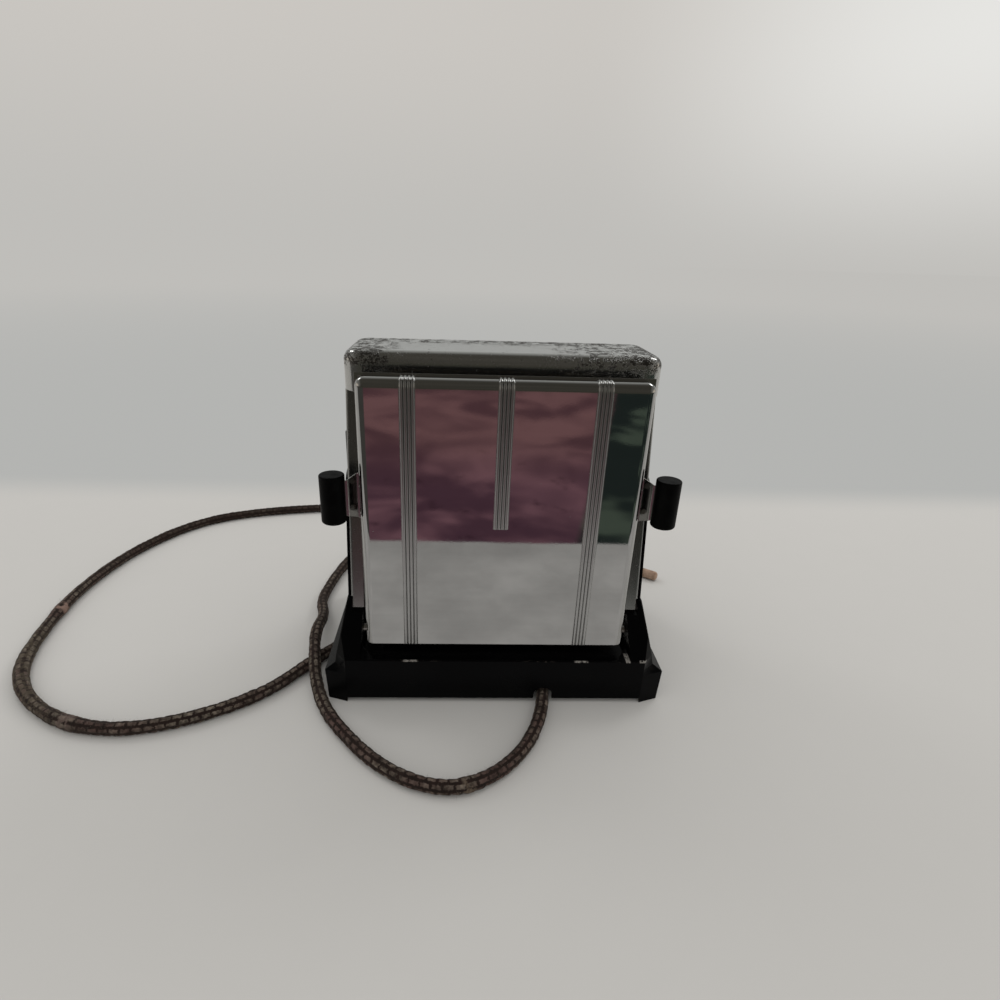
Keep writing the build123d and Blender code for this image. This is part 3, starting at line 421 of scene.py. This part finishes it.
def braid_material():
    """Dark cloth with columns of broken pale blocks, grimy in places and rubbed pale where it is worn."""
    shader = Shader("cloth_braid")
    uv = shader.node("UVMap", uv_map="braid").outputs[0]
    parts = shader.node("SeparateXYZ", {0: uv})
    turn = parts.outputs[0]
    distance = parts.outputs[1]
    ragged = shader.noise(900.0, 3.0)
    column = shader.times(turn, braid_columns)
    within = shader.math("FRACT", column)
    across = shader.times(shader.size(shader.minus(within, 0.5)), 2.0)
    across = shader.plus(across, shader.times(shader.minus(ragged, 0.5), 0.95))
    odd = shader.math("MODULO", shader.math("FLOOR", column), 2.0)
    row = shader.plus(shader.math("DIVIDE", distance, braid_pitch), shader.times(odd, 0.5))
    row = shader.plus(row, shader.times(ragged, 0.55))
    along = shader.times(shader.size(shader.minus(shader.math("FRACT", row), 0.5)), 2.0)
    block = shader.times(shader.ramp(across, 0.70, 0.40), shader.ramp(along, 0.90, 0.62))
    faded = shader.ramp(shader.noise(150.0, 3.0, 0.6), 0.30, 0.62)
    block = shader.times(block, shader.blend(faded, 0.25, 1.0))
    far = shader.ramp(shader.axis(1), *faded_stretch)
    block = shader.times(block, shader.blend(far, 1.0, 0.35))
    pale = shader.ramp(shader.noise(420.0, 4.0), 0.35, 0.7)
    pale = shader.mix(pale, (0.062, 0.052, 0.040), (0.185, 0.152, 0.120))
    brown = shader.ramp(shader.noise(28.0, 5.0, 0.65), 0.42, 0.62)
    pale = shader.mix(brown, pale, (0.090, 0.056, 0.048))
    dark = shader.mix(shader.noise(300.0, 4.0), (0.006, 0.005, 0.004), (0.026, 0.013, 0.010))
    colour = shader.mix(block, dark, pale)
    grime = shader.ramp(shader.noise(14.0, 4.0, 0.6), 0.5, 0.66)
    colour = shader.mix(shader.times(grime, 0.45), colour, (0.022, 0.016, 0.013))
    for centre, reach, amount, rubbed in worn_spots:
        spot = shader.times(shader.near(distance, centre, reach * 0.4, reach), amount)
        torn = shader.ramp(shader.noise(240.0, 4.0, 0.7), 0.44, 0.56)
        colour = shader.mix(shader.times(spot, torn), colour, rubbed)
    thread_turn = shader.times(turn, threads_around)
    thread_row = shader.times(distance, threads_per_metre)
    one = shader.math("SINE", shader.times(shader.plus(thread_turn, thread_row), math.pi))
    two = shader.math("SINE", shader.times(shader.minus(thread_turn, thread_row), math.pi))
    weave = shader.larger(one, two)
    height = shader.plus(shader.times(weave, 0.4), shader.noise(1500.0, 2.0))
    shader.set(Base_Color=colour, Roughness=0.88, Normal=shader.bump(height, 0.00012, 0.8),
               Specular_IOR_Level=0.15, Sheen_Weight=0.08, Sheen_Roughness=0.5,
               Sheen_Tint=(0.7, 0.6, 0.5))
    return shader.material


def make_fuzz(frames):
    """Loose fibres that stand off the braid, more of them where it is frayed."""
    vertices, faces = [], []
    radius = cord_diameter / 2
    total = frames[-1][1]

    def fibre(at, length):
        """One fibre that bends sideways and tapers. None grow on the lead's underside."""
        point, _, way, side, other = frames[at]
        angle = random.uniform(0, 2 * math.pi)
        out = side * math.cos(angle) + other * math.sin(angle)
        if out.z < -0.6:
            return
        across = way.cross(out)
        root = point + out * (radius - fibre_depth)
        lean = way * random.uniform(-1, 1) + across * random.uniform(-1, 1)
        thick = random.uniform(*fibre_thickness)
        start = len(vertices)
        for ring in range(fibre_rings):
            share = ring / (fibre_rings - 1)
            centre = root + out * length * share + lean * length * share * share
            centre.z = max(centre.z, fibre_clearance)
            width = thick * (1 - 0.8 * share)
            for corner in range(fibre_sides):
                turn = corner * 2 * math.pi / fibre_sides
                vertices.append(centre + (way * math.cos(turn) + across * math.sin(turn)) * width)
        for ring in range(fibre_rings - 1):
            low = start + ring * fibre_sides
            high = low + fibre_sides
            for corner in range(fibre_sides):
                ahead = (corner + 1) % fibre_sides
                faces.append((low + corner, low + ahead, high + ahead, high + corner))
        faces.append(tuple(start + corner for corner in reversed(range(fibre_sides))))
        tip = start + (fibre_rings - 1) * fibre_sides
        faces.append(tuple(tip + corner for corner in range(fibre_sides)))

    for _ in range(fibre_count):
        fibre(random.randrange(10, len(frames) - 10), random.uniform(*fibre_length))
    for centre, spread in frays:
        for _ in range(fray_count):
            distance = min(max(random.gauss(centre, spread / 2), 0.01), total - 0.01)
            fibre(int(distance / total * (len(frames) - 1)), random.uniform(*fray_length))
    mesh = bpy.data.meshes.new("cord_fibres")
    mesh.from_pydata(vertices, [], faces)
    piece = bpy.data.objects.new("cord_fibres", mesh)
    bpy.context.scene.collection.objects.link(piece)
    return piece


def fibre_material():
    """Loose threads, dark to tan."""
    shader = Shader("loose_fibre")
    tone = shader.ramp(shader.noise(90.0, 2.0), 0.35, 0.65)
    shader.set(Base_Color=shader.mix(tone, (0.012, 0.009, 0.008), (0.16, 0.13, 0.10)), Roughness=0.8)
    return shader.material


cord, cord_path, cord_length, cord_frames = make_cord()
cord.data.materials.append(braid_material())
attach(cord, "base")
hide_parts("cord")
fuzz = make_fuzz(cord_frames)
fuzz.data.materials.append(fibre_material())
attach(fuzz, "base")


# ------------------------------------------------------------------ where the object is worn
# places in metres from the middle of the base; a pair is where something starts and where it is full
cover_back = (-0.012, 0.020)       # pits of the cover, from its front to its back
cover_ends = (0.040, 0.080)        # the same towards each end
cover_right = (0.005, 0.050)       # the same towards the right
cover_height = (0.190, 0.198)      # the same upwards, on its sides
flute_place = 0.051                # the middle of each outer group of flutes, left and right
flute_half = (0.0040, 0.0046)      # half a group's width, without and with a soft edge
middle_flute_foot = (0.1085, 0.1092)
door_face = (0.0474, 0.0478)       # only a door's outer face lies as far out as this
rim_height = 0.030                 # the base's upper edge
rim_front = (-0.054, -0.056)       # and its front part
rib_touch = (0.0505, 0.0030, 0.0046)      # place, core and reach of the rubbed spots under the door's ribs
right_glints = ((0.0785, 0.0010, 0.0016), (0.0875, 0.0016, 0.0026))    # the same, of two painted glints on the right: pale spots that stand in for highlights


# ------------------------------------------------------------------ metals
def plating(name, tint, polish, pits=0.5, grime=0.3, pit_zone=None, rough_zone=None):
    """Old bright plating: faint dents, fine scratches, pits that show dark, and grime at edges."""
    shader = Shader(name)
    patches = shader.noise(22.0, 5.0, 0.6)
    grains = shader.noise(1100.0, 3.0, 0.6)
    specks = shader.noise(430.0, 4.0, 0.65)
    level = 0.70 - 0.10 * pits
    pit = shader.times(shader.ramp(specks, level, level + 0.05), shader.ramp(patches, 0.42, 0.62))
    if pit_zone:
        pit = shader.larger(pit, pit_zone(shader))
    haze = shader.ramp(shader.noise(60.0, 6.0, 0.65), 0.45, 0.75)
    streaks = shader.noise(1.0, 5.0, 0.6, shader.stretched((9.0, 9.0, 130.0)))
    streaks = shader.ramp(streaks, 0.35, 0.7)
    scratches = shader.noise(1.0, 6.0, 0.7, shader.stretched((40.0, 40.0, 1800.0)))
    dirt = shader.times(shader.edges(0.0008), grime)
    colour = shader.mix(shader.times(haze, 0.35), tint, scaled(tint, 0.84))
    colour = shader.mix(shader.times(streaks, 0.25), colour, scaled(tint, 0.8))
    colour = shader.mix(pit, colour, (0.035, 0.026, 0.02))
    colour = shader.mix(dirt, colour, (0.12, 0.10, 0.08))
    rough = shader.plus(shader.times(haze, 0.03), polish)
    rough = shader.plus(rough, shader.times(shader.ramp(scratches, 0.55, 0.75), 0.03))
    if rough_zone:
        rough = shader.plus(rough, rough_zone(shader))
    rough = shader.blend(pit, rough, 0.6)
    dents = shader.noise(16.0, 2.0, 0.4)
    normal = shader.bump(dents, 0.0004, 0.35, shader.soft_edges(0.0005))
    relief = shader.minus(shader.times(grains, 0.06), pit)
    normal = shader.bump(relief, 0.00008, 0.6, normal)
    shader.set(Base_Color=colour, Roughness=rough, Normal=normal, Metallic=1.0)
    return shader.material


def cover_pits(shader):
    """Rust pits of the top cover: dense at its back and ends, fewer on its right half, few elsewhere."""
    back = shader.times(shader.ramp(shader.axis(1), *cover_back), 0.9)
    ends = shader.ramp(shader.size(shader.axis(0)), *cover_ends)
    right = shader.times(shader.ramp(shader.axis(0), *cover_right), 0.7)
    amount = shader.larger(back, shader.larger(ends, right))
    amount = shader.times(amount, shader.ramp(shader.axis(2), *cover_height))
    amount = shader.plus(amount, shader.times(right, 0.10))
    patches = shader.ramp(shader.noise(190.0, 5.0, 0.75), 0.36, 0.62)
    amount = shader.times(amount, patches)
    level = shader.minus(0.655, shader.times(amount, 0.38))
    over_level = shader.minus(shader.noise(1050.0, 4.0, 0.8), level)
    return shader.times(shader.ramp(over_level, 0.0, 0.06), 0.85)


def flute_haze(shader):
    """The door's flutes are rubbed duller than its flat."""
    across = shader.size(shader.axis(0))
    outer = shader.near(across, flute_place, *flute_half)
    middle = shader.near(across, 0.0, *flute_half)
    middle = shader.times(middle, shader.ramp(shader.axis(2), *middle_flute_foot))
    outside = shader.ramp(shader.size(shader.axis(1)), *door_face)
    return shader.times(shader.times(shader.larger(outer, middle), outside), 0.26)


def enamel():
    """Gloss black stove enamel, rubbed through along its edges and in spots on the base's front rim; two
    of those spots, at its right end, are painted glints.
    """
    shader = Shader("black_enamel")
    edge = shader.edges(0.0009, 0.05, 0.35)
    broken = shader.ramp(shader.noise(260.0, 5.0, 0.7), 0.52, 0.60)
    patches = shader.ramp(shader.noise(30.0, 3.0), 0.45, 0.62)
    worn = shader.times(shader.times(edge, broken), patches)
    rim = shader.near(shader.axis(2), rim_height, 0.0004, 0.0008)
    rim = shader.times(rim, shader.ramp(shader.axis(1), *rim_front))
    rib_wear_and_glints = shader.near(shader.size(shader.axis(0)), *rib_touch)
    for glint in right_glints:
        rib_wear_and_glints = shader.larger(rib_wear_and_glints, shader.near(shader.axis(0), *glint))
    rib_wear_and_glints = shader.times(rib_wear_and_glints, shader.ramp(shader.noise(700.0, 4.0, 0.7), 0.40, 0.52))
    # pale spots on the front rim: worn paint under the door's ribs, and painted highlights at the right
    # end
    rubbed = shader.times(rim, rib_wear_and_glints)
    dust = shader.ramp(shader.noise(45.0, 6.0, 0.7), 0.45, 0.85)
    colour = shader.mix(shader.times(dust, 0.5), (0.0012, 0.0012, 0.0014), (0.0030, 0.0030, 0.0028))
    colour = shader.mix(worn, colour, (0.10, 0.085, 0.07))
    colour = shader.mix(rubbed, colour, (0.24, 0.225, 0.205))
    rough = shader.plus(shader.times(dust, 0.20), 0.20)
    rough = shader.blend(worn, rough, 0.5)
    peel = shader.noise(420.0, 2.0, 0.4)
    normal = shader.bump(peel, 0.00005, 0.25, shader.soft_edges(0.0007))
    shader.set(Base_Color=colour, Roughness=rough, Normal=normal, Specular_IOR_Level=0.05)
    return shader.material


def moulding():
    """Black moulded knobs: dull sheen with rubbed ends."""
    shader = Shader("black_moulding")
    mottle = shader.noise(160.0, 6.0, 0.7)
    colour = shader.mix(shader.ramp(mottle, 0.4, 0.75), (0.0011, 0.0011, 0.0011), (0.0030, 0.0030, 0.0028))
    rubbed = shader.times(shader.edges(0.0009, 0.03, 0.3), shader.ramp(mottle, 0.5, 0.7))
    colour = shader.mix(rubbed, colour, (0.04, 0.036, 0.032))
    rough = shader.ramp(mottle, 0.3, 0.8, 0.38, 0.6)
    normal = shader.bump(shader.noise(700.0, 3.0), 0.00005, 0.4, shader.soft_edges(0.0005))
    shader.set(Base_Color=colour, Roughness=rough, Normal=normal, Specular_IOR_Level=0.05)
    return shader.material


def dull_metal(name, light, dark, roughness):
    """Bare metal with patches of tarnish."""
    shader = Shader(name)
    tarnish = shader.ramp(shader.noise(240.0, 5.0, 0.65), 0.38, 0.68)
    normal = shader.bump(shader.noise(1200.0, 3.0), 0.00005, 0.5, shader.soft_edges(0.0002))
    shader.set(Base_Color=shader.mix(tarnish, light, dark),
               Roughness=shader.blend(tarnish, roughness, min(roughness + 0.3, 1.0)),
               Normal=normal, Metallic=1.0)
    return shader.material


def mica():
    """An opaque brown sheet of flakes, scorched in patches."""
    shader = Shader("mica_sheet")
    flakes = shader.node("TexVoronoi", {"Vector": shader.stretched((90.0, 1.0, 60.0)), "Scale": 1.0,
                                        "Randomness": 1.0}).outputs["Color"]
    tone = shader.node("SeparateColor", {0: flakes}).outputs[0]
    colour = shader.mix(tone, (0.30, 0.22, 0.12), (0.52, 0.42, 0.27))
    scorch = shader.ramp(shader.noise(30.0, 4.0), 0.45, 0.7)
    colour = shader.mix(shader.times(scorch, 0.6), colour, (0.13, 0.09, 0.06))
    shader.set(Base_Color=colour, Roughness=shader.blend(tone, 0.25, 0.45),
               Normal=shader.bump(tone, 0.00008, 0.5))
    return shader.material


def plain(name, light, dark, roughness, scale, bump_depth=0.00005):
    """Glazed, rubber or cloth pieces: a mottled colour and a fine grain."""
    shader = Shader(name)
    mottle = shader.ramp(shader.noise(scale, 5.0, 0.6), 0.35, 0.7)
    normal = shader.bump(shader.noise(scale * 6, 3.0), bump_depth, 0.5, shader.soft_edges(0.0003))
    shader.set(Base_Color=shader.mix(mottle, light, dark),
               Roughness=shader.blend(mottle, roughness, min(roughness + 0.15, 1.0)), Normal=normal)
    return shader.material


door_plate = plating("door_plating", (0.44, 0.44, 0.43), 0.025, pits=-0.3, rough_zone=flute_haze)
cap_plate = plating("cap_plating", (0.50, 0.50, 0.485), 0.15, pits=0.7, pit_zone=cover_pits)
panel_plate = plating("panel_plating", (0.30, 0.30, 0.29), 0.24, grime=0.6)
bracket_plate = plating("bracket_plating", (0.42, 0.41, 0.39), 0.14, grime=0.5)
steel = dull_metal("old_steel", (0.42, 0.41, 0.39), (0.16, 0.13, 0.11), 0.35)
blued = dull_metal("spring_steel", (0.16, 0.15, 0.15), (0.05, 0.04, 0.04), 0.35)
brass = dull_metal("tarnished_brass", (0.50, 0.37, 0.17), (0.22, 0.15, 0.08), 0.35)
copper = dull_metal("tarnished_copper", (0.42, 0.24, 0.15), (0.16, 0.09, 0.06), 0.4)
ribbon = dull_metal("resistance_ribbon", (0.25, 0.22, 0.20), (0.10, 0.08, 0.07), 0.5)

paint(door_plate, "front_door", "back_door")
paint(cap_plate, "top_cap")
paint(panel_plate, "end_panel_left", "end_panel_right")
paint(enamel(), "base_pan", "bottom_plate", "end_shield_left", "end_shield_right")
knob_names = [f"{end}_knob_{side}" for end in ("front", "back") for side in ("left", "right")]
paint(moulding(), *knob_names)
paint(bracket_plate, *[name.replace("knob", "bracket") for name in knob_names])
paint(steel, "bottom_plate_screws", "frame_rivets", "cap_screws", "front_knob_screws", "back_knob_screws",
      "front_door_rivets", "back_door_rivets", "front_hinge_pins", "back_hinge_pins",
      "element_rail_bottom", "element_rail_top", "bread_guard_front", "bread_guard_back")
paint(blued, "front_door_springs", "back_door_springs")
paint(brass, "element_terminals", "terminal_screws")
paint(copper, "element_lead_left", "element_lead_right", "supply_wires")
paint(ribbon, "element_ribbon")
paint(mica(), "element_mica")
paint(plain("porcelain", (0.72, 0.70, 0.64), (0.58, 0.54, 0.46), 0.2, 90.0), "terminal_block")
paint(plain("black_rubber", (0.018, 0.017, 0.016), (0.04, 0.037, 0.034), 0.6, 160.0), "cord_bushing")
paint(plain("bound_end", (0.40, 0.27, 0.19), (0.24, 0.15, 0.10), 0.7, 260.0, 0.00015), "cord_end")


# ------------------------------------------------------------------ stage and light
floor_colour = (0.565, 0.552, 0.530)
surround_light = (0.85, 0.845, 0.83)
mirrored_wall = (0.475, 0.480, 0.465)
mirrored_sheet = (0.515, 0.500, 0.485)
backdrop_low = (0.455, 0.458, 0.445)
backdrop_high = (0.590, 0.567, 0.535)
backdrop_middle = tuple((low + high) / 2 for low, high in zip(backdrop_low, backdrop_high))
backdrop_right = (0.790, 0.785, 0.760)
floor_reach = 12.0
light_aim = Vector((0, 0, 0.08))

# each pair says where a change of tone starts and where it is complete
# on the sheet, for the camera
crease = (0.23, 0.31)              # behind the object the sheet turns up into the backdrop
sheet_reach = (0.55, 0.95)         # so far from the object it fades into the backdrop
horizon = (0.5, 4.0)               # and the backdrop's tone rises to that of the world's horizon
# on the sheet, for polished metal, in front of the object
painted_start = (-0.075, -0.090)   # nearer than this it sees the sheet itself
sheet_shade = (-0.200, -0.240)
sheet_edge = (-0.243, -0.247)      # the pale sheet ends here
warm_start = (-0.34, -0.60)
dim_start = (-0.86, -0.95)
green_start = (0.010, 0.022)       # measured to the right of a line that slants
green_slant = 0.30
grey_start = (-0.070, -0.078)      # measured to the left of another one
grey_slant = 0.185


def room_tones(shader, across, ahead):
    """What polished metal sees in front: the sheet, and beyond its edge mauve tones and a dim room."""
    folds = shader.ramp(shader.noise(5.0, 3.0, 0.5, distortion=1.2), 0.36, 0.64)
    mauve = shader.mix(folds, (0.100, 0.047, 0.068), (0.265, 0.130, 0.160))
    flecks = shader.ramp(shader.noise(26.0, 4.0, 0.6), 0.58, 0.72)
    mauve = shader.mix(shader.times(flecks, 0.7), mauve, (0.045, 0.020, 0.030))
    warm = shader.mix(folds, (0.130, 0.062, 0.070), (0.255, 0.130, 0.130))
    tones = shader.mix(shader.times(shader.ramp(ahead, *warm_start), 0.8), mauve, warm)
    green = shader.ramp(shader.noise(9.0, 2.0), 0.50, 0.62)
    green = shader.mix(green, (0.022, 0.030, 0.028), (0.085, 0.110, 0.085))
    right = shader.plus(across, shader.times(ahead, green_slant))
    tones = shader.mix(shader.ramp(right, *green_start), tones, green)
    left = shader.minus(across, shader.times(ahead, grey_slant))
    tones = shader.mix(shader.ramp(left, *grey_start), tones, (0.075, 0.072, 0.066))
    tones = shader.mix(shader.ramp(ahead, *dim_start), tones, (0.062, 0.060, 0.047))
    mottled = shader.ramp(shader.noise(11.0, 4.0, 0.6), 0.30, 0.70)
    sheet = shader.mix(mottled, scaled(mirrored_sheet, 0.84), scaled(mirrored_sheet, 1.10))
    shade = shader.times(shader.ramp(ahead, *sheet_shade), 0.35)
    sheet = shader.mix(shade, sheet, scaled(mirrored_sheet, 0.6))
    return shader.mix(shader.ramp(ahead, *sheet_edge), sheet, tones)


def make_floor():
    """A wide pale sheet that fades into the backdrop for the camera and shows painted tones to mirrors."""
    mesh = bpy.data.meshes.new("floor")
    corners = [(-floor_reach, -floor_reach, 0), (floor_reach, -floor_reach, 0),
               (floor_reach, floor_reach, 0), (-floor_reach, floor_reach, 0)]
    mesh.from_pydata(corners, [], [(0, 1, 2, 3)])
    floor = bpy.data.objects.new("floor", mesh)
    bpy.context.scene.collection.objects.link(floor)
    shader = Shader("floor_sheet")
    across = shader.axis(0)
    ahead = shader.axis(1)
    distance = shader.node("VectorMath", {0: shader.place()}, operation="LENGTH").outputs["Value"]
    rays = shader.node("LightPath")
    mirrored = rays.outputs["Is Glossy Ray"]
    grain = shader.times(shader.noise(40.0, 4.0, 0.6), 0.3)
    sheet = shader.mix(grain, floor_colour, scaled(floor_colour, 0.94))
    shader.set(Base_Color=sheet, Roughness=0.75, Specular_IOR_Level=0.2)
    # far from the object the sheet has the backdrop's own tone, so that no horizon shows
    far = shader.mix(shader.ramp(distance, *horizon), backdrop_low, backdrop_middle)
    tone = shader.mix(mirrored, far, room_tones(shader, across, ahead))
    glow = shader.node("Emission", {"Color": tone})
    painted = shader.times(shader.ramp(ahead, *painted_start), mirrored)
    behind = shader.ramp(ahead, *crease)
    around = shader.ramp(distance, *sheet_reach)
    backdrop = shader.times(shader.larger(behind, around), rays.outputs["Is Camera Ray"])
    mixed = shader.node("MixShader", {0: shader.larger(painted, backdrop), 1: shader.surface, 2: glow})
    shader.put(shader.output.inputs[0], mixed)
    mesh.materials.append(shader.material)


def make_world():
    """Even pale light. Mirrors see a pale wall behind, a dim room in front and windows at both sides."""
    world = bpy.data.worlds.new("room")
    bpy.context.scene.world = world
    world.use_nodes = True
    graph = Graph(world.node_tree)
    way = graph.node("TexCoord").outputs["Generated"]
    parts = graph.node("SeparateXYZ", {0: way})
    right = parts.outputs[0]
    back = parts.outputs[1]
    height = parts.outputs[2]
    sideways = graph.size(right)
    wall = graph.mix(graph.ramp(height, 0.0, 0.30), backdrop_middle, backdrop_high)
    brighter = graph.times(graph.ramp(right, 0.15, 0.60), graph.ramp(height, -0.05, 0.25))
    wall = graph.mix(brighter, wall, backdrop_right)
    blotches = graph.noise(2.2, 2.0, 0.5, way)
    dim = graph.mix(blotches, (0.040, 0.038, 0.031), (0.100, 0.092, 0.078))
    dim = graph.mix(graph.ramp(sideways, 0.50, 0.85), dim, (0.21, 0.205, 0.19))
    window = graph.times(graph.ramp(sideways, 0.84, 0.96), graph.ramp(height, 0.45, 0.10))
    dim = graph.mix(window, dim, (0.80, 0.72, 0.62))
    mirrored = graph.mix(graph.ramp(back, 0.0, 0.93), dim, mirrored_wall)
    rays = graph.node("LightPath")
    tone = graph.mix(rays.outputs["Is Glossy Ray"], surround_light, mirrored)
    tone = graph.mix(rays.outputs["Is Camera Ray"], tone, wall)
    background = graph.node("Background", {"Color": tone})
    output = graph.node("OutputWorld")
    graph.put(output.inputs[0], background)


def area_light(name, place, size, power):
    """A square light turned to the object."""
    data = bpy.data.lights.new(name, "AREA")
    data.size = size
    data.energy = power
    light = bpy.data.objects.new(name, data)
    bpy.context.scene.collection.objects.link(light)
    light.location = place
    light.rotation_euler = (light_aim - Vector(place)).to_track_quat("-Z", "Y").to_euler()


make_floor()
make_world()
# the photograph shows neither the lead nor the base mirrored in the door
for piece in (cord, fuzz, nodes["base_pan"]):
    piece.visible_glossy = False
area_light("back_left", (-0.80, 0.62, 0.95), 0.36, 1.4)
area_light("back_right", (0.85, 0.70, 1.05), 0.42, 2.8)
bpy.context.scene.view_settings.view_transform = "Standard"
